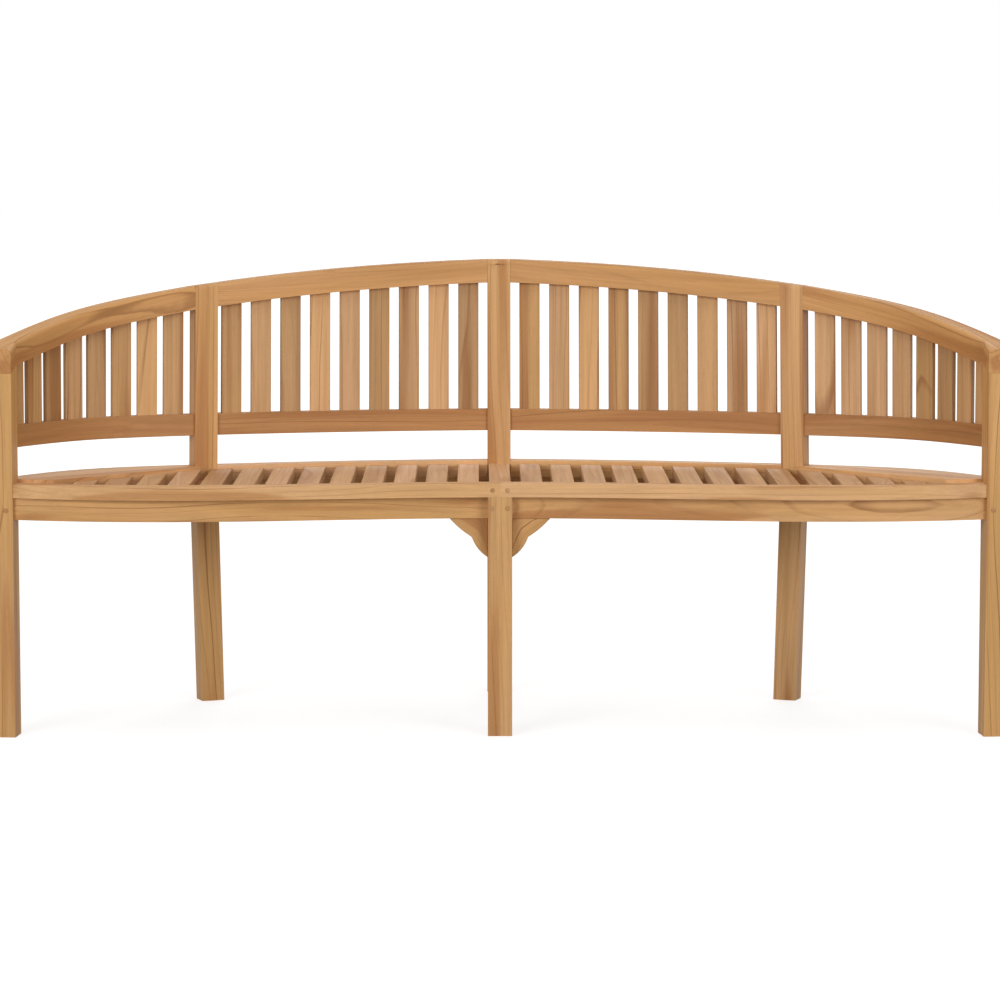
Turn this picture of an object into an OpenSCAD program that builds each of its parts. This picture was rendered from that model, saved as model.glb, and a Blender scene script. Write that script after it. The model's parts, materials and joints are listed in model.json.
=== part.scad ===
// Crescent garden bench in solid teak, seat for three, all joints pegged mortise and tenon.
// Seen from the front: +X to the right, +Y to the back, +Z up, floor at Z = 0.
// Lengths along Y are first measured from the fronts of the arm posts,
// and the whole bench is then moved so that the origin is under its middle.

/* [Overall] */
// Clear width between the two arm posts, at their fronts
clear_w = 1715; // [1600:5:1830]
// Height of the seat slats' top above the floor
seat_h = 450; // [400:5:480]
// Height of the back's crest at the middle
crest_h = 827; // [800:1:860]
// Height of the top rail's crest at the side rear posts
shoulder_h = 788; // [770:1:800]
// Height of the arm's top at its front end
arm_h = 688; // [670:1:700]

/* [Posts] */
// Width of the arm posts, the front leg and the rear posts
post_w = 43; // [38:1:46]
// Depth of the arm posts
arm_post_d = 47; // [40:1:52]
// Depth of the rear posts, and width of the top rail that is flush with them
back_d = 36; // [32:1:46]
// How far the arm posts are turned outward, in degrees
arm_toe = 5.5; // [2:0.5:8]
// Backward lean of the back, in degrees
lean = 9; // [6:0.5:12]
// How far the rear feet stand behind the seat line
rake = 138; // [100:1:150]
// Slope of the two front faces of a rear post, in degrees
ridge = 5; // [3:0.5:7]

/* [Back plan] */
// Front of the centre rear post at seat height, behind the arm posts' fronts
back_y = 386; // [360:1:410]
// Width of an inner back panel between its posts, across the bench
panel_w = 495; // [470:1:515]
// Turn of the inner panel at the side rear post, in degrees
panel_turn = 17; // [14:0.5:20]
// Turn of the arm where it reaches the arm post, in degrees
arm_turn = 57; // [52:1:64]

/* [Back rails and slats] */
// Height of the top rail's section
rail_h = 43; // [38:1:48]
// Radius of the top rail's rounded upper edges
rail_r = 9; // [5:1:12]
// Height of the lower back rail's underside above the seat
low_rail_gap = 61; // [50:1:75]
// Height of the lower back rail
low_rail_h = 39; // [32:1:46]
// Thickness of the lower back rail
low_rail_t = 24; // [20:1:28]
// Width of a back slat
slat_w = 37.5; // [34:0.5:41]
// Thickness of a back slat
slat_t = 10; // [9:0.5:13]
// Slats in an inner panel
inner_slats = 9; // [7:1:10]
// Slats in an outer panel
outer_slats = 8; // [6:1:8]
// Gap between the centre rear post and its first slat
post_gap = 17; // [8:1:20]
// Gap between a side rear post and the last slat of the inner panel
side_gap = 12; // [8:1:15]
// Gap between a side rear post and the first slat of the outer panel
outer_gap = 18; // [12:1:22]
// Gap between an arm post and the last slat
arm_gap = 4; // [1:0.5:6]
// Length of a back slat's tenon
slat_tenon = 10; // [6:1:14]

/* [Seat] */
// Thickness of the front rim
rim_t = 24; // [20:1:28]
// Width of the front rim
rim_w = 38; // [34:1:44]
// Width of the rear rim
rear_rim_w = 36; // [32:1:40]
// Height of the rear rim above the seat slats
rear_rim_rise = 6; // [3:0.5:8]
// Thickness of the rear rim
rear_rim_t = 30; // [26:1:34]
// Front rim behind the arm posts' fronts, at the middle
rim_mid_y = 11; // [5:1:20]
// Front rim behind the arm posts' fronts, at its ends
rim_end_y = 2; // [1:0.5:5]
// How far the front rim swings forward between leg and arm post
rim_swing = 122; // [90:1:130]
// Height of the aprons
apron_h = 39.5; // [34:0.5:46]
// Thickness of the aprons
apron_t = 22; // [18:1:24]
// Front apron behind the front rim's edge, at the middle
overhang_mid = 22; // [18:1:26]
// Front apron behind the front rim's edge, at the ends
overhang_end = 8; // [6:1:12]
// Width of a seat slat
seat_slat_w = 38; // [32:1:42]
// Gap between seat slats
seat_slat_gap = 18.5; // [14:0.5:22]
// Thickness of a seat slat
seat_slat_t = 20; // [16:1:22]
// Length of a seat slat's tenon
seat_tenon = 10; // [6:1:12]

/* [Brackets and pegs] */
// Width of a bracket under the apron, out from the leg
bracket_w = 68; // [50:1:75]
// Height of a bracket down the leg
bracket_h = 70; // [50:1:75]
// Thickness of a bracket
bracket_t = 18; // [14:1:20]
// Outward swell of a bracket's lower lobe, twice that of the upper one
bracket_swell = 4; // [2:0.5:6]
// Height of the arm post's peg below the apron's top
post_peg_drop = 22; // [18:1:26]
// Diameter of a peg
peg_d = 8; // [6:0.5:10]
// Length of a peg
peg_l = 16; // [10:1:20]

/* [Hidden] */

honey = "#cf9f63";
straw = "#d9ae74";
amber = "#b98348";
// Clearance round a tenon or peg in its mortise
fit = 0.15;
// Longer than any piece, for cutting shapes
far = 2500;
// Rounds of a sweep along an inner and an outer panel
inner_steps = 14;
outer_steps = 20;
// Segments in the round of a rail's upper edge
round_steps = 4;
// Seat slats on each side of the middle one
side_slats = 13;
seat_pitch = seat_slat_w + seat_slat_gap;

slope = tan(lean);
half_w = clear_w / 2;
apron_top = seat_h - rim_t;
apron_low = apron_top - apron_h;
low_rail_z = seat_h + low_rail_gap;
low_rail_top = low_rail_z + low_rail_h;
// Turn of the side rear post, and of a cut across the arm at the arm post
post_turn = panel_turn + ridge;
outer_turn = post_turn - 4;
end_turn = 90 - arm_toe;

// Unit steps along and behind a line in plan that is turned by a degrees
function along(a) = [cos(a), -sin(a)];
function behind(a) = [sin(a), cos(a)];
// Point at t, from 0 to 1, of a smooth curve with two ends and two handles
function bezier(p, t) =
    pow(1 - t, 3) * p[0] + 3 * pow(1 - t, 2) * t * p[1]
    + 3 * (1 - t) * t * t * p[2] + pow(t, 3) * p[3];
function mixed(a, b, t) = a + (b - a) * t;
function reversed(list) = [for (i = [len(list) - 1:-1:0]) list[i]];
function mirrored(points) = [for (p = points) [-p.x, p.y]];

// Plan of the back at seat height: the line of the posts' fronts on the right half
inner_a = [post_w / 2, back_y];
inner_drop = panel_w * tan((ridge + panel_turn) / 2);
inner_b = inner_a + [panel_w, -inner_drop];
inner_reach = norm(inner_b - inner_a) / 3;
outer_a = inner_b + post_w * along(post_turn);
arm_corner = [half_w, 0];
outer_b = arm_corner - arm_post_d * along(end_turn);
outer_reach_a = 0.495 * norm(outer_b - outer_a);
outer_reach_b = 0.45 * norm(outer_b - outer_a);
post_fall = 0.115 * post_w;
head_slope = atan(0.115);
shoulder_out = shoulder_h - post_fall;
// Slope of the arm over its post
arm_rise = 0.25;
arm_rear_h = arm_h + arm_rise * arm_post_d;

// Control points hold the plan and, as third value, the height of the top rail's crest
inner_curve = [
    [inner_a.x, inner_a.y, crest_h],
    [inner_a.x + inner_reach * cos(ridge), inner_a.y - inner_reach * sin(ridge),
     crest_h - 0.031 * inner_reach],
    [inner_b.x - inner_reach * cos(panel_turn), inner_b.y + inner_reach * sin(panel_turn),
     shoulder_h + 0.13 * inner_reach],
    [inner_b.x, inner_b.y, shoulder_h]];
outer_curve = [
    [outer_a.x, outer_a.y, shoulder_out],
    [outer_a.x + outer_reach_a * cos(outer_turn), outer_a.y - outer_reach_a * sin(outer_turn),
     shoulder_out - 0.156 * outer_reach_a],
    [outer_b.x - outer_reach_b * cos(arm_turn), outer_b.y + outer_reach_b * sin(arm_turn),
     arm_rear_h + arm_rise * outer_reach_b],
    [outer_b.x, outer_b.y, arm_rear_h]];

// Front edges of the front rim and of the apron under it, on the right half
rim_curve = [
    [0, rim_mid_y], [0.35 * half_w, rim_mid_y],
    [0.63 * half_w, rim_mid_y - rim_swing], [half_w, rim_end_y]];
apron_curve = [
    [0, rim_mid_y + overhang_mid], [0.35 * half_w, rim_mid_y + overhang_mid],
    [0.63 * half_w, rim_mid_y - rim_swing + overhang_mid], [half_w, rim_end_y + overhang_end]];
function rim_line(t) = bezier(rim_curve, t);
function apron_line(t) = bezier(apron_curve, t);

// The back as a surface: u is the distance behind the posts' fronts, z the height.
// It leans straight back, by less and less from the side rear post to the arm post.
function lean_share(outer, t) = outer ? 1 - t : 1;
function cut_turn(outer, t) = outer ? mixed(post_turn, end_turn, t) : post_turn * t;
function back_line(outer, t) = bezier(outer ? outer_curve : inner_curve, t);
function back_point(outer, t, u, z) =
    let (p = back_line(outer, t), a = cut_turn(outer, t))
    [p.x + u * sin(a), p.y + u * cos(a) + lean_share(outer, t) * slope * (z - seat_h), z];

// Section of the top rail: u across, v up from the crest
function rail_section(w) = concat(
    [[0, -rail_h], [w, -rail_h]],
    [for (i = [0:round_steps]) let (a = 90 * i / round_steps)
        [w - rail_r + rail_r * cos(a), rail_r * (sin(a) - 1)]],
    [for (i = [0:round_steps]) let (a = 90 + 90 * i / round_steps)
        [rail_r + rail_r * cos(a), rail_r * (sin(a) - 1)]]);

function flat_section(u, t, z, h) = [[u, z], [u + t, z], [u + t, z + h], [u, z + h]];

// A closed solid through rings of points, each ring with the same number of points
module swept(rings) {
    m = len(rings[0]);
    n = len(rings);
    points = [for (r = rings) each r];
    sides = [for (i = [0:n - 2], j = [0:m - 1]) let (
        a = i * m + j, b = i * m + (j + 1) % m, c = a + m, d = b + m)
        each [[a, d, b], [a, c, d]]];
    caps = [for (j = [1:m - 2]) each [
        [0, j, j + 1],
        [(n - 1) * m, (n - 1) * m + j + 1, (n - 1) * m + j]]];
    polyhedron(points = points, faces = concat(sides, caps));
}

// A prism with a level section that moves straight back by tilt for each unit of height
module leaning(section, low, high, tilt) {
    a = atan(tilt);
    intersection() {
        translate([0, 0, seat_h]) rotate([-a, 0, 0]) translate([0, 0, -far / 2])
            linear_extrude(far) polygon([for (p = section) [p.x, p.y * cos(a)]]);
        translate([-far, -far, low]) cube([2 * far, 2 * far, high - low]);
    }
}

module placed(left = false) {
    translate([0, -middle_y, 0]) mirror([left ? 1 : 0, 0, 0]) children();
}

// Posts

function post_section(center, a, grow = 0) =
    let (s = (post_w / 2 + grow) * along(a), b = behind(a))
    [center - s - grow * b, center - (ridge_out + grow) * b, center + s - grow * b,
     center + s + (back_d + grow) * b, center - s + (back_d + grow) * b];

ridge_out = post_w / 2 * tan(ridge);
side_post = inner_b + post_w / 2 * along(post_turn);
center_post = [0, back_y];
foot_tilt = -rake / seat_h;

// Depth of the bench at the floor and at the front rim, and the middle between them
foot_back = back_y + rake + back_d;
front_reach = min([for (i = [0:outer_steps]) rim_line(i / outer_steps).y]);
middle_y = (foot_back + front_reach) / 2;

// Lower leg raked back, upper part leaning, with its head shaped like the top rail
module rear_post_shape(center, a, head, fall, grow = 0) {
    difference() {
        swept([for (z = [0, seat_h, head + rail_h]) [for (p = post_section(center, a, grow))
            [p.x, p.y + (z - seat_h) * (z < seat_h ? foot_tilt : slope), z]]]);
        head_cut(center, a, head, fall, grow);
    }
}

// What is cut away over a rear post's head to round it as the rails are
module head_cut(center, a, head, fall, grow) {
    w = back_d + ridge_out + 2 * grow;
    crest = reversed([for (p = rail_section(w)) if (p.y > -rail_h) p]);
    outline = [for (p = concat([[-far, crest[0].y], [-far, far], [far, far], [far, crest[0].y]],
        reversed(crest))) [p.x - ridge_out - grow, p.y + grow]];
    translate([center.x, center.y + slope * (head - seat_h), head]) rotate([0, 0, -a])
        rotate([0, fall, 0]) rotate([90, 0, 90]) translate([0, 0, -post_w])
        linear_extrude(2 * post_w)
        polygon([for (p = outline) [p.x + p.y * slope * cos(a), p.y]]);
}

module center_post_shape(grow = 0) {
    rear_post_shape(center_post, 0, crest_h, 0, grow);
}

module side_post_shape(grow = 0) {
    rear_post_shape(side_post, post_turn, shoulder_h - post_fall / 2, head_slope, grow);
}

module rear_post_center() {
    color(honey) placed() difference() {
        center_post_shape();
        center_post_joints();
        mirror([1, 0, 0]) center_post_joints();
    }
}

module rear_post_side(left) {
    color(honey) placed(left) difference() {
        side_post_shape();
        panel_tenons(false, 1, fit);
        panel_tenons(true, 0, fit);
        bearer_core(side_post.x, apron_line(0.6).y + apron_t, side_post.y, fit);
    }
}

module center_post_joints() {
    panel_tenons(false, 0, fit);
    bearer_core(0, rim_mid_y + post_w, center_bearer_back, fit);
}

// A tenon at one end of a rail, rim or rear apron: u and z give its middle
tenon_t = 10;
tenon_l = 14;
top_tenon_h = 24;
low_tenon_h = 22;
apron_tenon_h = 20;
rim_tenon_h = 14;
rear_apron_u = rear_rim_w - apron_t;

module end_tenon(outer, t, u, z, h, grow = 0) {
    p = back_point(outer, t, u, z);
    translate(p) rotate([0, 0, -cut_turn(outer, t)])
        translate([t == 0 ? -tenon_l - grow : 1 - tenon_l, -tenon_t / 2 - grow, -h / 2 - grow])
        cube([2 * tenon_l - 1 + grow, tenon_t + 2 * grow, h + 2 * grow]);
}

module top_rail_tenon(outer, t, grow = 0) {
    end_tenon(outer, t, back_d / 2, back_line(outer, t).z - rail_h / 2, top_tenon_h, grow);
}

module low_rail_tenon(outer, t, grow = 0) {
    end_tenon(outer, t, back_d / 2, low_rail_z + low_rail_h / 2, low_tenon_h, grow);
}

module rear_rim_tenon(outer, t, grow = 0) {
    end_tenon(outer, t, rear_rim_w / 2 + tenon_t / 2, seat_h - rear_rim_t / 2 + rear_rim_rise,
        rim_tenon_h, grow);
}

module rear_apron_tenon(outer, t, grow = 0) {
    end_tenon(outer, t, rear_apron_u + apron_t / 2, apron_low + apron_h / 2, apron_tenon_h, grow);
}

// All the mortises that one panel end needs in its post
module panel_tenons(outer, t, grow) {
    top_rail_tenon(outer, t, grow);
    low_rail_tenon(outer, t, grow);
    rear_rim_tenon(outer, t, grow);
    rear_apron_tenon(outer, t, grow);
}

// Arm posts

module arm_post_shape(grow = 0) {
    translate([half_w, 0, 0]) rotate([0, 0, arm_toe])
        translate([-grow, -grow, 0])
        cube([post_w + 2 * grow, arm_post_d + 2 * grow, arm_rear_h - rail_h]);
}

module arm_post(left) {
    color(honey) placed(left) difference() {
        union() {
            intersection() {
                arm_post_shape();
                arm_seat();
            }
            arm_tenon();
        }
        low_rail_tenon(true, 1, fit);
        rear_rim_tenon(true, 1, fit);
        rear_apron_tenon(true, 1, fit);
        front_tenon(true, fit);
        front_tenon(false, fit);
        peg_hole(post_peg);
    }
}

// Stub on top of the arm post, let into the arm
module arm_tenon(grow = 0) {
    side = 20 + 2 * grow;
    translate([half_w, 0, 0]) rotate([0, 0, arm_toe])
        translate([(post_w - side) / 2, (arm_post_d - side) / 2, arm_h - rail_h - 10])
        cube([side, side, 10 + arm_tenon_h + grow]);
}

arm_tenon_h = 24;

// The arm post's top is cut to the slope of the arm that lies on it
module arm_seat() {
    translate([half_w, 0, arm_h - rail_h]) rotate([0, 0, arm_toe]) rotate([atan(arm_rise), 0, 0])
        translate([-far / 2, -far / 2, -far]) cube([far, far, far]);
}

// Top and lower rails of the back

function rail_ring(outer, t) = let (crest = back_line(outer, t).z)
    [for (p = rail_section(mixed(back_d, outer ? post_w : back_d, t)))
        back_point(outer, t, p.x, crest + p.y)];

// The outer rail runs on over the arm post to its front
function arm_ring() = let (last = rail_ring(true, 1), step = arm_post_d * along(end_turn))
    [for (p = last) [p.x + step.x, p.y + step.y, p.z + arm_h - arm_rear_h]];

module top_rail_shape(outer) {
    steps = outer ? outer_steps : inner_steps;
    rings = [for (i = [0:steps]) rail_ring(outer, i / steps)];
    swept(outer ? concat(rings, [arm_ring()]) : rings);
}

module top_rail(outer, left) {
    color(honey) placed(left) difference() {
        union() {
            top_rail_shape(outer);
            top_rail_tenon(outer, 0);
            if (!outer) top_rail_tenon(outer, 1);
        }
        for (i = [0:slat_count(outer) - 1]) back_slat_shape(outer, i, fit);
        if (outer) arm_tenon(fit);
    }
}

module low_rail(outer, left) {
    steps = outer ? outer_steps : inner_steps;
    section = flat_section((back_d - low_rail_t) / 2, low_rail_t, low_rail_z, low_rail_h);
    color(amber) placed(left) difference() {
        union() {
            swept([for (i = [0:steps]) [for (p = section) back_point(outer, i / steps, p.x, p.y)]]);
            low_rail_tenon(outer, 0);
            low_rail_tenon(outer, 1);
        }
        for (i = [0:slat_count(outer) - 1]) back_slat_shape(outer, i, fit);
    }
}

// Back slats

function slat_count(outer) = outer ? outer_slats : inner_slats;
function first_gap(outer) = outer ? outer_gap : post_gap;
function last_gap(outer) = outer ? arm_gap : side_gap;

// The line through the middle of the slats, its length up to t, and the t at a given length
function slat_line(outer, t) = let (p = back_line(outer, t))
    [p.x, p.y] + back_d / 2 * behind(cut_turn(outer, t));
function line_length(outer, t, n = 24) = t <= 0 ? 0 : let (
    q = [for (i = [0:n]) slat_line(outer, t * i / n)])
    sum([for (i = [1:n]) norm(q[i] - q[i - 1])]);
function sum(list, i = 0) = i >= len(list) ? 0 : list[i] + sum(list, i + 1);
function at_length(outer, s, low = 0, high = 1, n = 14) = n == 0 ? (low + high) / 2 :
    let (m = (low + high) / 2)
    line_length(outer, m) < s ? at_length(outer, s, m, high, n - 1)
                              : at_length(outer, s, low, m, n - 1);

// Place of slat i along its panel: equal gaps between the two end gaps
function slat_place(outer, i) = let (
    count = slat_count(outer),
    room = line_length(outer, 1) - first_gap(outer) - last_gap(outer),
    gap = (room - count * slat_w) / (count - 1))
    at_length(outer, first_gap(outer) + i * (slat_w + gap) + slat_w / 2);

module back_slat_shape(outer, i, grow = 0) {
    t = slat_place(outer, i);
    dt = 0.01;
    tangent = slat_line(outer, min(1, t + dt)) - slat_line(outer, t - dt);
    a = atan2(-tangent.y, tangent.x);
    c = slat_line(outer, t);
    s = (slat_w / 2 + grow) * along(a);
    b = (slat_t / 2 + grow) * behind(a);
    low = low_rail_top - slat_tenon - grow;
    high = back_line(outer, t).z - rail_h + slat_tenon + grow;
    leaning([c - s - b, c + s - b, c + s + b, c - s + b], low, high,
        slope * lean_share(outer, t));
}

module back_slats(outer, left) {
    color(straw) placed(left) for (i = [0:slat_count(outer) - 1]) back_slat_shape(outer, i);
}

// Seat: rims, aprons, slats and bearers

function front_line(apron, depth, n = 24) = concat(
    [for (i = [0:n]) (apron ? apron_line(i / n) : rim_line(i / n)) + [0, depth]],
    [[half_w + post_w / 3, (apron ? rim_end_y + overhang_end : rim_end_y) + depth]]);

module front_board(apron, w, low, h) {
    translate([0, 0, low]) linear_extrude(h)
        polygon(concat(front_line(apron, 0), reversed(front_line(apron, w))));
}

// Line of the back at seat height, u behind the posts' fronts
function rear_line(outer, u, n = 16) = [for (i = [0:n]) let (
    p = back_line(outer, i / n), a = cut_turn(outer, i / n))
    [p.x + u * sin(a), p.y + u * cos(a)]];

// An outer apron starts further in than the line, so that it meets its post's raked side
rear_lap = 9;
function rear_run(outer, u, lap) = let (line = rear_line(outer, u))
    outer && lap > 0 ? concat([line[0] - lap * along(post_turn)], line) : line;

module rear_plan(outer, u, w, lap = 0) {
    polygon(concat(rear_run(outer, u, lap), reversed(rear_run(outer, u + w, lap))));
}

module rear_board(outer, u, w, low, h) {
    translate([0, 0, low]) linear_extrude(h) rear_plan(outer, u, w, rear_lap);
}

// Tenon at both ends of the front apron or rim: a thinner board through its middle
module front_tenon(apron, grow = 0) {
    h = apron ? apron_tenon_h : rim_tenon_h;
    mid = apron ? apron_low + apron_h / 2 : apron_top + rim_t / 2;
    inset = ((apron ? apron_t : rim_w) - tenon_t) / 2 - grow;
    translate([0, inset, mid - h / 2 - grow]) linear_extrude(h + 2 * grow)
        polygon(concat(front_line(apron, 0), reversed(front_line(apron, tenon_t + 2 * grow))));
}

module front_rim(left) {
    color(straw) placed(left) difference() {
        union() {
            difference() {
                front_board(false, rim_w, apron_top, rim_t);
                arm_post_shape();
            }
            front_tenon(false);
        }
        leg_tenon(fit);
        seat_tenons(fit);
        peg_hole(rim_peg);
    }
}

module front_apron(left) {
    color(straw) placed(left) difference() {
        union() {
            difference() {
                front_board(true, apron_t, apron_low, apron_h);
                arm_post_shape();
                front_leg_shape();
            }
            front_tenon(true);
        }
        bearer_core(side_post.x, apron_line(0.6).y + apron_t, side_post.y, fit);
        bearer_core(0, rim_mid_y + post_w, center_bearer_back, fit);
        peg_hole(leg_peg);
        peg_hole(post_peg);
    }
}

module rear_rim(outer, left) {
    color(amber) placed(left) difference() {
        union() {
            difference() {
                translate([0, 0, rear_rim_low]) linear_extrude(rear_rim_t) {
                    rear_plan(outer, 0, rear_rim_w);
                    if (outer) seat_corner();
                }
                center_post_shape();
                side_post_shape();
                arm_post_shape(fit);
            }
            rear_rim_tenon(outer, 0);
            rear_rim_tenon(outer, 1);
        }
        front_board(false, rim_w, 0, far);
        seat_tenons(fit);
    }
}

rear_rim_low = seat_h + rear_rim_rise - rear_rim_t;
// The outer rear rim is a wide board whose front edge is sawn straight, from the side
// rear post to a point on the front rim this far from the arm post
corner_w = 68;
corner_a = side_post;
corner_b = [half_w - corner_w, rim_line(0.92).y + rim_w];

// All that lies behind that edge, which is moved back by the given distance
module corner_plan(back = 0) {
    edge = corner_b - corner_a;
    a = corner_a + back * [-edge.y, edge.x] / norm(edge);
    b = a + 1.1 * edge;
    polygon([a, b, [half_w + post_w, b.y], [half_w + post_w, back_y], [a.x, back_y]]);
}

// The wide part of the outer rear rim, between the front rim and the line of the back
module seat_corner() {
    intersection() {
        seat_plan(1);
        corner_plan();
    }
}

module rear_apron_shape(outer) {
    difference() {
        union() {
            difference() {
                rear_board(outer, rear_apron_u, apron_t, apron_low, rear_rim_low - apron_low);
                center_post_shape();
                side_post_shape();
                arm_post_shape(fit);
            }
            rear_apron_tenon(outer, 0);
            rear_apron_tenon(outer, 1);
        }
        front_board(true, apron_t, 0, far);
        front_board(false, rim_w, apron_top, far);
    }
}

module rear_aprons(left) {
    color(amber) placed(left) {
        rear_apron_shape(false);
        rear_apron_shape(true);
    }
}

// Plan of the seat between the rims, let in by grow on both sides for the tenons
module seat_plan(grow) {
    post_line = [[-inner_a.x, inner_a.y + grow], [inner_a.x, inner_a.y + grow]];
    polygon(concat(
        reversed(mirrored(front_line(false, rim_w - grow))), front_line(false, rim_w - grow),
        reversed(rear_line(true, grow)), reversed(rear_line(false, grow)),
        mirrored(rear_line(false, grow)), mirrored(rear_line(true, grow))));
}

module slat_strip(i, w, low, h, grow) {
    translate([0, 0, low]) linear_extrude(h) difference() {
        intersection() {
            seat_plan(grow);
            translate([i * seat_pitch - w / 2, -far / 2]) square([w, far]);
        }
        corner_plan(grow);
        mirror([1, 0, 0]) corner_plan(grow);
    }
}

tenon_side = 4;

module seat_tenon_shape(i, grow = 0) {
    slat_strip(i, seat_slat_w - 2 * tenon_side + 2 * grow,
        seat_h - (seat_slat_t + tenon_t) / 2 - grow, tenon_t + 2 * grow, seat_tenon + grow);
}

module seat_tenons(grow) {
    for (i = [0:side_slats]) seat_tenon_shape(i, grow);
}

module seat_slat(i) {
    color(straw) placed() difference() {
        union() {
            slat_strip(i, seat_slat_w, seat_h - seat_slat_t, seat_slat_t, 0);
            seat_tenon_shape(i);
        }
        center_post_shape();
        side_post_shape();
        mirror([1, 0, 0]) side_post_shape();
    }
}

// Bearers run from the front apron or leg to the rear posts, under the slats
bearer_w = 30;
bearer_h = 34;
bearer_low = seat_h - seat_slat_t - bearer_h;
center_bearer_back = back_y + 0.5 * back_d;

module bearer_body(x, front, back) {
    translate([x - bearer_w / 2, front, bearer_low]) cube([bearer_w, back - front, bearer_h]);
}

// Tenons at both ends of a bearer are the ends of a thinner bar through its middle
module bearer_core(x, front, back, grow = 0) {
    translate([x - tenon_t / 2 - grow, front - tenon_l - grow, bearer_low + bearer_h / 2
        - rim_tenon_h / 2 - grow])
        cube([tenon_t + 2 * grow, back - front + 2 * tenon_l + 2 * grow, rim_tenon_h + 2 * grow]);
}

module seat_bearer_center() {
    front = rim_mid_y + post_w;
    color(amber) placed() {
        difference() {
            bearer_body(0, front, center_bearer_back);
            center_post_shape();
        }
        bearer_core(0, front, center_bearer_back - tenon_l);
    }
}

module seat_bearers_side() {
    front = apron_line(0.6).y + apron_t;
    for (left = [false, true]) color(amber) placed(left) {
        difference() {
            bearer_body(side_post.x, front - tenon_l, side_post.y + rear_rim_w);
            side_post_shape();
            front_board(true, apron_t, 0, far);
            rear_board(false, rear_apron_u, apron_t, 0, far);
            rear_board(true, rear_apron_u, apron_t, 0, far);
            rear_apron_tenon(false, 1, fit);
            rear_apron_tenon(true, 0, fit);
            translate([0, 0, rear_rim_low]) linear_extrude(far) corner_plan();
        }
        bearer_core(side_post.x, front, side_post.y);
    }
}

// Front leg, brackets and pegs

module front_leg_shape(grow = 0) {
    translate([-post_w / 2 - grow, rim_mid_y - grow, 0])
        cube([post_w + 2 * grow, post_w + 2 * grow, apron_top]);
}

module center_front_leg() {
    color(honey) placed() difference() {
        union() {
            front_leg_shape();
            leg_tenon();
        }
        bearer_core(0, rim_mid_y + post_w, center_bearer_back, fit);
        for (side = [0, 1]) mirror([side, 0, 0]) {
            front_tenon(true, fit);
            peg_hole(leg_peg);
            peg_hole(rim_peg);
        }
    }
}

// Stub on top of the leg, let into both front rims
module leg_tenon(grow = 0) {
    w = post_w - 8 + 2 * grow;
    translate([-w / 2, rim_mid_y + 12 - grow, apron_top - 1])
        cube([w, 14 + 2 * grow, 18 + grow]);
}

// Half of a bracket's scalloped edge is an arc between two points, swelling to one side
function lobe(a, b, swell, n = 8) = [for (i = [0:n]) let (
    t = i / n, side = [b.y - a.y, a.x - b.x] / norm(b - a))
    mixed(a, b, t) + 4 * swell * t * (1 - t) * side];

module bracket(left) {
    notch = [0.42 * bracket_w, -0.48 * bracket_h];
    edge = concat(
        lobe([0, -bracket_h], notch, bracket_swell),
        lobe(notch, [bracket_w, 0], bracket_swell / 2));
    color(amber) placed(left)
        translate([post_w / 2, rim_mid_y + post_w - bracket_t - 1.5, apron_low])
        rotate([90, 0, 0]) translate([0, 0, -bracket_t])
        linear_extrude(bracket_t) polygon(concat([[0, 0]], edge));
}

// Pegs show as round ends in the front faces: place of the end, and its turn
leg_peg = [13, rim_mid_y, apron_top - 20, 0];
rim_peg = [13, rim_mid_y, seat_h - rim_t / 2, 0];
post_peg = [half_w + 12, 0, apron_top - post_peg_drop, arm_toe];
peg_proud = 0.4;

module peg_shape(peg, r, l, proud) {
    translate([peg[0], peg[1], peg[2]]) rotate([0, 0, peg[3]])
        translate([0, -proud, 0]) rotate([-90, 0, 0]) cylinder(r = r, h = l + proud, $fn = 32);
}

module peg_hole(peg) {
    peg_shape(peg, peg_d / 2 + fit / 3, peg_l + fit, 5);
}

module pegs() {
    for (left = [false, true]) color(amber) placed(left) {
        peg_shape(leg_peg, peg_d / 2, peg_l, peg_proud);
        peg_shape(rim_peg, peg_d / 2, peg_l, peg_proud);
        peg_shape(post_peg, peg_d / 2, peg_l, peg_proud);
    }
}

arm_post(true);  // arm_post_left
arm_post(false);  // arm_post_right
center_front_leg();
rear_post_side(true);  // rear_post_left
rear_post_center();
rear_post_side(false);  // rear_post_right
top_rail(true, true);  // top_rail_outer_left
top_rail(false, true);  // top_rail_inner_left
top_rail(false, false);  // top_rail_inner_right
top_rail(true, false);  // top_rail_outer_right
low_rail(true, true);  // low_rail_outer_left
low_rail(false, true);  // low_rail_inner_left
low_rail(false, false);  // low_rail_inner_right
low_rail(true, false);  // low_rail_outer_right
back_slats(true, true);  // back_slats_outer_left
back_slats(false, true);  // back_slats_inner_left
back_slats(false, false);  // back_slats_inner_right
back_slats(true, false);  // back_slats_outer_right
front_rim(true);  // front_rim_left
front_rim(false);  // front_rim_right
front_apron(true);  // front_apron_left
front_apron(false);  // front_apron_right
rear_rim(true, true);  // rear_rim_outer_left
rear_rim(false, true);  // rear_rim_inner_left
rear_rim(false, false);  // rear_rim_inner_right
rear_rim(true, false);  // rear_rim_outer_right
rear_aprons(true);  // rear_aprons_left
rear_aprons(false);  // rear_aprons_right
seat_bearer_center();
seat_bearers_side();
bracket(true);  // bracket_left
bracket(false);  // bracket_right
pegs();
seat_slat(-13);  // seat_slat_01
seat_slat(-12);  // seat_slat_02
seat_slat(-11);  // seat_slat_03
seat_slat(-10);  // seat_slat_04
seat_slat(-9);  // seat_slat_05
seat_slat(-8);  // seat_slat_06
seat_slat(-7);  // seat_slat_07
seat_slat(-6);  // seat_slat_08
seat_slat(-5);  // seat_slat_09
seat_slat(-4);  // seat_slat_10
seat_slat(-3);  // seat_slat_11
seat_slat(-2);  // seat_slat_12
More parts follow.
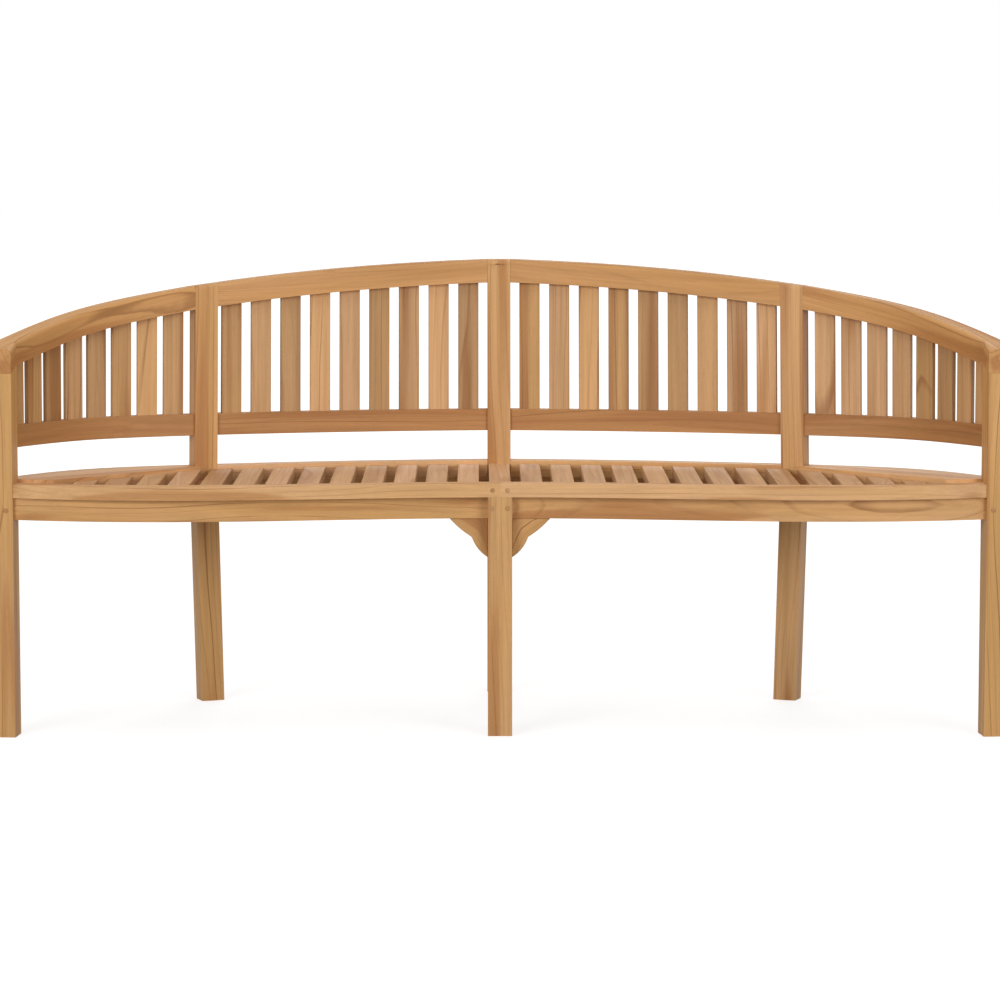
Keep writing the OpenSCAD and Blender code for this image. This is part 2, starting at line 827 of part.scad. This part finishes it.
seat_slat(-1);  // seat_slat_13
seat_slat(0);  // seat_slat_14
seat_slat(1);  // seat_slat_15
seat_slat(2);  // seat_slat_16
seat_slat(3);  // seat_slat_17
seat_slat(4);  // seat_slat_18
seat_slat(5);  // seat_slat_19
seat_slat(6);  // seat_slat_20
seat_slat(7);  // seat_slat_21
seat_slat(8);  // seat_slat_22
seat_slat(9);  // seat_slat_23
seat_slat(10);  // seat_slat_24
seat_slat(11);  // seat_slat_25
seat_slat(12);  // seat_slat_26
seat_slat(13);  // seat_slat_27
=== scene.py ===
# Crescent garden bench in teak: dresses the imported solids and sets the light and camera.
import json
import math
import random
import bmesh
import bpy
import numpy as np
from mathutils import Matrix, Vector


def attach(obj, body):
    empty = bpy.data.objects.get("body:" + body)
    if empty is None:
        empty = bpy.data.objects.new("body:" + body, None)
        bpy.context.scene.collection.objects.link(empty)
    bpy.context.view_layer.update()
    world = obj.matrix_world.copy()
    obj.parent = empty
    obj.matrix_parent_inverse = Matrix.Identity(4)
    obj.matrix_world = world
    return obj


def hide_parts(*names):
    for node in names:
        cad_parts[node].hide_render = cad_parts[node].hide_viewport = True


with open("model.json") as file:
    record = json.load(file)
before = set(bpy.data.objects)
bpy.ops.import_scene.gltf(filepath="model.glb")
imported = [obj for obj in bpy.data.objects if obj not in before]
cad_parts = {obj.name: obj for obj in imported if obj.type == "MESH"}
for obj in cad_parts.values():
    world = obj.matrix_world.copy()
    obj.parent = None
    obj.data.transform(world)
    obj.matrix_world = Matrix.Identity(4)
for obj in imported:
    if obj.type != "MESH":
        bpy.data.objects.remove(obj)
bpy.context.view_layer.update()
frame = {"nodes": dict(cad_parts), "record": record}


# Node helpers

def addNode(tree, kind, inputs=None, **settings):
    node = tree.nodes.new(kind)
    for key, value in settings.items():
        setattr(node, key, value)
    for key, value in (inputs or {}).items():
        if isinstance(value, bpy.types.NodeSocket):
            tree.links.new(value, node.inputs[key])
        else:
            node.inputs[key].default_value = value
    return node


def maths(tree, operation, a, b=0.0, clamp=False):
    return addNode(tree, "ShaderNodeMath", {0: a, 1: b}, operation=operation, use_clamp=clamp).outputs[0]


def swing(tree, source, width):   # a source that runs from 0 to 1, as a swing of this width about zero
    return maths(tree, "MULTIPLY", maths(tree, "SUBTRACT", source, 0.5), width)


def remap(tree, value, low, high, toLow=0.0, toHigh=1.0):
    inputs = {"Value": value, "From Min": low, "From Max": high, "To Min": toLow, "To Max": toHigh}
    return addNode(tree, "ShaderNodeMapRange", inputs, interpolation_type="SMOOTHSTEP").outputs["Result"]


def vectorMath(tree, operation, inputs, output=0):
    return addNode(tree, "ShaderNodeVectorMath", inputs, operation=operation).outputs[output]


def noise(tree, place, look):
    inputs = {"Vector": vectorMath(tree, "MULTIPLY", {0: place, 1: look["waves"]}), "Scale": 1.0,
              "Detail": look["detail"], "Roughness": look.get("rough", 0.5)}
    return addNode(tree, "ShaderNodeTexNoise", inputs).outputs["Fac"]


def chanceOf(tree, number):
    return addNode(tree, "ShaderNodeTexWhiteNoise", {"W": number}, noise_dimensions="1D").outputs["Value"]


def mixColour(tree, factor, first, second):
    inputs = {"Factor": factor, 6: first, 7: second}
    return addNode(tree, "ShaderNodeMix", inputs, data_type="RGBA").outputs[2]


def seenDirectly(tree):   # by the camera, or in gloss or glass, and not by the light that falls on the bench
    path = addNode(tree, "ShaderNodeLightPath").outputs
    mirrored = maths(tree, "MAXIMUM", path["Is Glossy Ray"], path["Is Transmission Ray"])
    return maths(tree, "MAXIMUM", path["Is Camera Ray"], mirrored)


def newMaterial(name):
    mat = bpy.data.materials.new(name)
    mat.use_nodes = True
    tree = mat.node_tree
    tree.nodes.clear()
    return mat, tree, tree.nodes.new("ShaderNodeOutputMaterial")


# Teak. The grain attribute holds each stick's own place in the log, in metres, with z along the stick.

# light sets how bright each part's teak comes out: partly the wood's own tone and partly painted light and
# shade, set part by part so each part looks as lit as the others
teakLooks = {
    "teak_posts": {"light": 1.05, "spread": 0.12, "hue": 0.3, "heart": 0.08, "lines": 0.95},
    "teak_top_rails": {"light": 1.02, "spread": 0.08, "hue": 0.05, "heart": 0.42, "lines": 0.7},
    "teak_low_rails": {"light": 0.84, "spread": 0.14, "hue": 0.1, "heart": 0.75, "lines": 0.9},
    "teak_back_slats": {"light": 0.87, "spread": 0.36, "hue": 0.5, "heart": 0.08, "lines": 1.0},
    "teak_seat_slats": {"light": 0.95, "spread": 0.20, "hue": 0.75, "heart": 0.1, "lines": 0.6},
    "teak_rims": {"light": 1.08, "spread": 0.10, "hue": 0.6, "heart": 0.0, "lines": 0.8},
    "teak_aprons": {"light": 1.03, "spread": 0.10, "hue": 0.3, "heart": 0.12, "lines": 1.0},
    "teak_bearers": {"light": 0.85, "spread": 0.12, "hue": 0.4, "heart": 0.2, "lines": 0.7},
    "teak_pegs": {"light": 0.80, "spread": 0.10, "hue": 0.3, "heart": 0.2, "lines": 0.5},
}

teakHues = {"golden": (0.520, 0.285, 0.098, 1.0), "rosy": (0.600, 0.350, 0.180, 1.0),
            "line": (0.235, 0.090, 0.026, 1.0), "heart": (0.400, 0.172, 0.054, 1.0)}

# waves to the metre, across the stick twice and then along it
grainWaves = {
    "wanderX": {"waves": (3.0, 3.0, 0.7), "detail": 1.0},
    "wanderY": {"waves": (4.0, 4.0, 1.6), "detail": 1.0},
    "uneven": {"waves": (45.0, 45.0, 5.0), "detail": 2.0},
    "faded": {"waves": (20.0, 20.0, 4.0), "detail": 1.0},
    "fibre": {"waves": (800.0, 800.0, 16.0), "detail": 2.0, "rough": 0.6},
    "streak": {"waves": (130.0, 130.0, 2.6), "detail": 2.0},
    "band": {"waves": (30.0, 30.0, 1.4), "detail": 1.0},
    "blush": {"waves": (22.0, 22.0, 2.2), "detail": 1.0},
    "pore": {"waves": (1300.0, 1300.0, 50.0), "detail": 1.0},
}

rings = {"perMetre": 125.0, "wanderX": 0.018, "wanderY": 0.012, "uneven": 0.003, "lineFrom": 0.72,
         "lineDarkest": 0.93, "rarity": 2.2, "fadedTo": 0.25}
drift = {"stickHue": 0.7, "blushHue": 1.0, "heartBands": 0.7,
         "light": {"band": -0.32, "streak": 0.44, "fibre": 0.26, "pore": -0.12}}
feel = {"roughLow": 0.52, "roughHigh": 0.64, "specular": 0.3, "bump": 0.25, "bumpDepth": 0.0005,
        "streakHeight": 0.6, "lineDepth": 0.5}


def ringLines(tree, grain, strength):
    # a slow wander of the log's axis along the stick makes the pointed arches of flat-sawn faces
    wander = {axis: remap(tree, noise(tree, grain, grainWaves["wander" + axis]), 0.2, 0.8,
                          -rings["wander" + axis], rings["wander" + axis]) for axis in "XY"}
    shift = addNode(tree, "ShaderNodeCombineXYZ", wander).outputs[0]
    bent = vectorMath(tree, "ADD", {0: grain, 1: shift})
    across = vectorMath(tree, "MULTIPLY", {0: bent, 1: (1.0, 1.0, 0.0)})
    radius = vectorMath(tree, "LENGTH", {0: across}, "Value")
    uneven = maths(tree, "MULTIPLY", noise(tree, grain, grainWaves["uneven"]), rings["uneven"])
    year = maths(tree, "MULTIPLY", maths(tree, "ADD", radius, uneven), rings["perMetre"])
    part = maths(tree, "FRACT", year)
    darkens = remap(tree, part, rings["lineFrom"], rings["lineDarkest"])
    ends = remap(tree, part, rings["lineDarkest"], 1.0, 1.0, 0.0)
    # few years leave a strong line, and each line fades in places
    power = maths(tree, "POWER", chanceOf(tree, maths(tree, "FLOOR", year)), rings["rarity"])
    faded = remap(tree, noise(tree, grain, grainWaves["faded"]), 0.3, 0.6, rings["fadedTo"], 1.0)
    line = maths(tree, "MULTIPLY", maths(tree, "MULTIPLY", darkens, ends), power)
    return maths(tree, "MULTIPLY", line, maths(tree, "MULTIPLY", faded, strength))


def plainColour(tree, look, tone, waves):
    # each stick has its own hue and lightness, and both drift a little within it
    hue = maths(tree, "ADD", swing(tree, chanceOf(tree, tone), drift["stickHue"]), look["hue"])
    hue = maths(tree, "ADD", hue, swing(tree, waves["blush"], drift["blushHue"]), clamp=True)
    bands = maths(tree, "MULTIPLY", remap(tree, waves["band"], 0.53, 0.64), look["lines"] * drift["heartBands"])
    heartwood = maths(tree, "ADD", bands, look["heart"], clamp=True)
    colour = mixColour(tree, heartwood, mixColour(tree, hue, teakHues["golden"], teakHues["rosy"]),
                       teakHues["heart"])
    # the finish's light is partly painted light and shade, set part by part; each stick's tone spreads it
    light = maths(tree, "ADD", look["light"], swing(tree, tone, look["spread"]))
    for name, width in drift["light"].items():
        light = maths(tree, "ADD", light, swing(tree, waves[name], width))
    return vectorMath(tree, "SCALE", {0: colour, "Scale": light})


def makeTeak(name, look):
    mat, tree, out = newMaterial(name)
    grain = addNode(tree, "ShaderNodeAttribute", attribute_name="grain").outputs["Vector"]
    tone = addNode(tree, "ShaderNodeAttribute", attribute_name="tone").outputs["Fac"]
    waves = {key: noise(tree, grain, grainWaves[key]) for key in ("fibre", "streak", "band", "blush", "pore")}
    waves["pore"] = remap(tree, waves["pore"], 0.62, 0.74)
    lines = ringLines(tree, grain, look["lines"])
    colour = mixColour(tree, lines, plainColour(tree, look, tone, waves), teakHues["line"])

    rough = remap(tree, waves["streak"], 0.25, 0.75, feel["roughHigh"], feel["roughLow"])
    raised = maths(tree, "ADD", waves["fibre"], maths(tree, "MULTIPLY", waves["streak"], feel["streakHeight"]))
    sunk = maths(tree, "ADD", waves["pore"], maths(tree, "MULTIPLY", lines, feel["lineDepth"]))
    bump = addNode(tree, "ShaderNodeBump", {"Strength": feel["bump"], "Distance": feel["bumpDepth"],
                   "Height": maths(tree, "SUBTRACT", raised, sunk)})
    shader = addNode(tree, "ShaderNodeBsdfPrincipled", {"Base Color": colour, "Roughness": rough,
                     "Normal": bump.outputs[0], "Specular IOR Level": feel["specular"]})
    tree.links.new(shader.outputs[0], out.inputs[0])
    return mat


teaks = {name: makeTeak(name, look) for name, look in teakLooks.items()}
print("teak finishes made:", len(teaks))


# Sticks: each solid of a node gets eased edges and its own place in the log

sticks = {"ease": 0.0016, "easeSegments": 2, "easeFrom": math.radians(28), "flatWithin": math.radians(0.6),
          "mergeWithin": 2e-6, "mergeEased": 1e-6, "shadeSharpFrom": math.radians(40),
          "pithNear": 0.05, "pithFar": 0.16, "logLength": 40}
easeOf = {"rear_rim": 0.003, "front_rim": 0.004, "top_rail": 0.0015, "seat_slat": 0.002, "pegs": 0.0005}


def easeEdges(bm, name):
    bmesh.ops.remove_doubles(bm, verts=bm.verts, dist=sticks["mergeWithin"])
    bmesh.ops.dissolve_limit(bm, angle_limit=sticks["flatWithin"], verts=bm.verts, edges=bm.edges)
    ease = next((size for start, size in easeOf.items() if name.startswith(start)), sticks["ease"])
    sharp = [e for e in bm.edges if len(e.link_faces) == 2 and e.calc_face_angle(0) > sticks["easeFrom"]]
    bmesh.ops.bevel(bm, geom=sharp, offset=ease, offset_type="OFFSET", segments=sticks["easeSegments"],
                    profile=0.5, affect="EDGES", material=-1, clamp_overlap=True)
    bmesh.ops.remove_doubles(bm, verts=bm.verts, dist=sticks["mergeEased"])
    for face in bm.faces:
        face.smooth = True


def middleOf(group):   # x, z, y, in metres to a tenth of a millimetre
    return tuple(round(sum(vert.co[axis] for vert in group) / len(group), 4) for axis in (0, 2, 1))


def solidsOf(bm):
    groups, seen = [], set()
    for start in bm.verts:
        if start in seen:
            continue
        seen.add(start)
        group = [start]
        for vert in group:   # grows as neighbours are found
            for edge in vert.link_edges:
                other = edge.other_vert(vert)
                if other not in seen:
                    seen.add(other)
                    group.append(other)
        groups.append(group)
    return sorted(groups, key=middleOf)   # so that each stick draws the same tone in every run


def placeInLog(points, chance):
    middle = points.mean(0)
    axes = np.linalg.svd(points - middle, full_matrices=False)[2]   # longest first
    turn = Matrix((axes[1], axes[2], axes[0]))
    if turn.determinant() < 0:
        turn[0] = -turn[0]
    angle = chance.uniform(0, 2 * math.pi)
    fromPith = chance.uniform(sticks["pithNear"], sticks["pithFar"])
    along = chance.uniform(0, sticks["logLength"])
    return Vector(middle), turn, Vector((fromPith * math.cos(angle), fromPith * math.sin(angle), along))


def followBend(places):   # the grain runs along a curved stick, so its bend is taken out across the stick
    along = places[:, 2]
    for side in (0, 1):
        places[:, side] -= np.polyval(np.polyfit(along, places[:, side], 2), along)
    return places


def setGrain(bm, chance):
    grainLayer = bm.verts.layers.float_vector.new("grain")
    toneLayer = bm.verts.layers.float.new("tone")
    for group in solidsOf(bm):
        middle, turn, offset = placeInLog(np.array([vert.co for vert in group]), chance)
        tone = chance.random()
        places = followBend(np.array([turn @ (vert.co - middle) for vert in group]))
        for vert, place in zip(group, places):
            vert[grainLayer] = Vector(place) + offset
            vert[toneLayer] = tone


def dressNode(name, slot):
    bm = bmesh.new()
    bm.from_mesh(frame["nodes"][name].data)
    easeEdges(bm, name)
    setGrain(bm, random.Random(name))
    mesh = bpy.data.meshes.new(name + "_wood")
    bm.to_mesh(mesh)
    bm.free()
    mesh.set_sharp_from_angle(angle=sticks["shadeSharpFrom"])
    mesh.materials.append(teaks[slot])
    piece = bpy.data.objects.new(name + "_wood", mesh)
    bpy.context.scene.collection.objects.link(piece)
    evenShading = piece.modifiers.new("even_shading", "WEIGHTED_NORMAL")
    evenShading.keep_sharp = True
    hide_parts(name)
    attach(piece, "root")
    return piece


slotOf = {entry["node"]: entry["material_slot"] for entry in frame["record"]["subparts"]}
dressed = {name: dressNode(name, slotOf[name]) for name in sorted(frame["nodes"])}
print("sticks dressed:", len(dressed), "triangles:",
      sum(len(face.vertices) - 2 for piece in dressed.values() for face in piece.data.polygons))


# Floor, backdrop and light

studio = {"floorSize": 60.0, "floorColour": (0.42, 0.42, 0.42, 1.0), "glowNear": 0.74, "glowFar": 1.0,
          "nearWithin": 2.0, "farFrom": 6.0, "skyFill": 0.34, "white": (1.0, 1.0, 1.0, 1.0)}


def makeFloor():
    bm = bmesh.new()
    bmesh.ops.create_grid(bm, x_segments=1, y_segments=1, size=studio["floorSize"] / 2)
    mesh = bpy.data.meshes.new("floor")
    bm.to_mesh(mesh)
    bm.free()
    floor = bpy.data.objects.new("floor", mesh)
    bpy.context.scene.collection.objects.link(floor)
    mat, tree, out = newMaterial("floor_white")
    plain = addNode(tree, "ShaderNodeBsdfDiffuse", {"Color": studio["floorColour"]}).outputs[0]
    # what the camera sees of the floor brightens with distance, so it meets the white backdrop unseen
    place = addNode(tree, "ShaderNodeTexCoord").outputs["Object"]
    away = vectorMath(tree, "LENGTH", {0: place}, "Value")
    level = remap(tree, away, studio["nearWithin"], studio["farFrom"], studio["glowNear"], studio["glowFar"])
    strength = maths(tree, "MULTIPLY", seenDirectly(tree), level)
    glow = addNode(tree, "ShaderNodeEmission", {"Strength": strength}).outputs[0]
    both = addNode(tree, "ShaderNodeAddShader", {0: plain, 1: glow}).outputs[0]
    tree.links.new(both, out.inputs[0])
    mesh.materials.append(mat)


def makeBackdrop():   # white where it is seen, and a soft fill light for the bench
    world = bpy.data.worlds.new("studio")
    bpy.context.scene.world = world
    world.use_nodes = True
    tree = world.node_tree
    tree.nodes.clear()
    seen = maths(tree, "MULTIPLY", seenDirectly(tree), 1.0 - studio["skyFill"])
    level = maths(tree, "ADD", seen, studio["skyFill"])
    back = addNode(tree, "ShaderNodeBackground", {"Color": studio["white"], "Strength": level})
    tree.links.new(back.outputs[0], addNode(tree, "ShaderNodeOutputWorld").inputs[0])


lamps = {
    "front_left": {"at": (-3.0, -5.2, 2.1), "size": 2.6, "watts": 150},
    "front_right": {"at": (3.4, -5.0, 1.6), "size": 2.6, "watts": 120},
    "overhead": {"at": (0.0, -0.4, 4.2), "size": 3.0, "watts": 48},
    "behind": {"at": (0.4, 4.0, 3.2), "size": 2.4, "watts": 42},
}
lampsAim = Vector((0, 0, 0.45))   # the middle of the seat


def addLamp(name, lamp):
    data = bpy.data.lights.new(name, "AREA")
    data.shape = "SQUARE"
    data.size = lamp["size"]
    data.energy = lamp["watts"]
    holder = bpy.data.objects.new(name, data)
    holder.location = lamp["at"]
    holder.rotation_euler = (lampsAim - Vector(lamp["at"])).to_track_quat("-Z", "Y").to_euler()
    bpy.context.scene.collection.objects.link(holder)


makeFloor()
makeBackdrop()
for lampName, lamp in lamps.items():
    addLamp(lampName, lamp)
print("studio and lamps set")


# Camera: solved from the photograph's slat edges, horizon and feet

cameraSet = {"at": (-0.0336, -6.9555, 1.1244), "pitch": 5.982, "yaw": -0.2865, "lens": 137.79, "sensor": 36.0}


def addCamera():
    data = bpy.data.cameras.new("camera")
    data.lens = cameraSet["lens"]
    data.sensor_width = cameraSet["sensor"]
    camera = bpy.data.objects.new("camera", data)
    camera.location = cameraSet["at"]
    camera.rotation_euler = (math.radians(90 - cameraSet["pitch"]), 0, math.radians(cameraSet["yaw"]))
    bpy.context.scene.collection.objects.link(camera)
    bpy.context.scene.camera = camera


addCamera()
bpy.context.scene.view_settings.view_transform = "Standard"
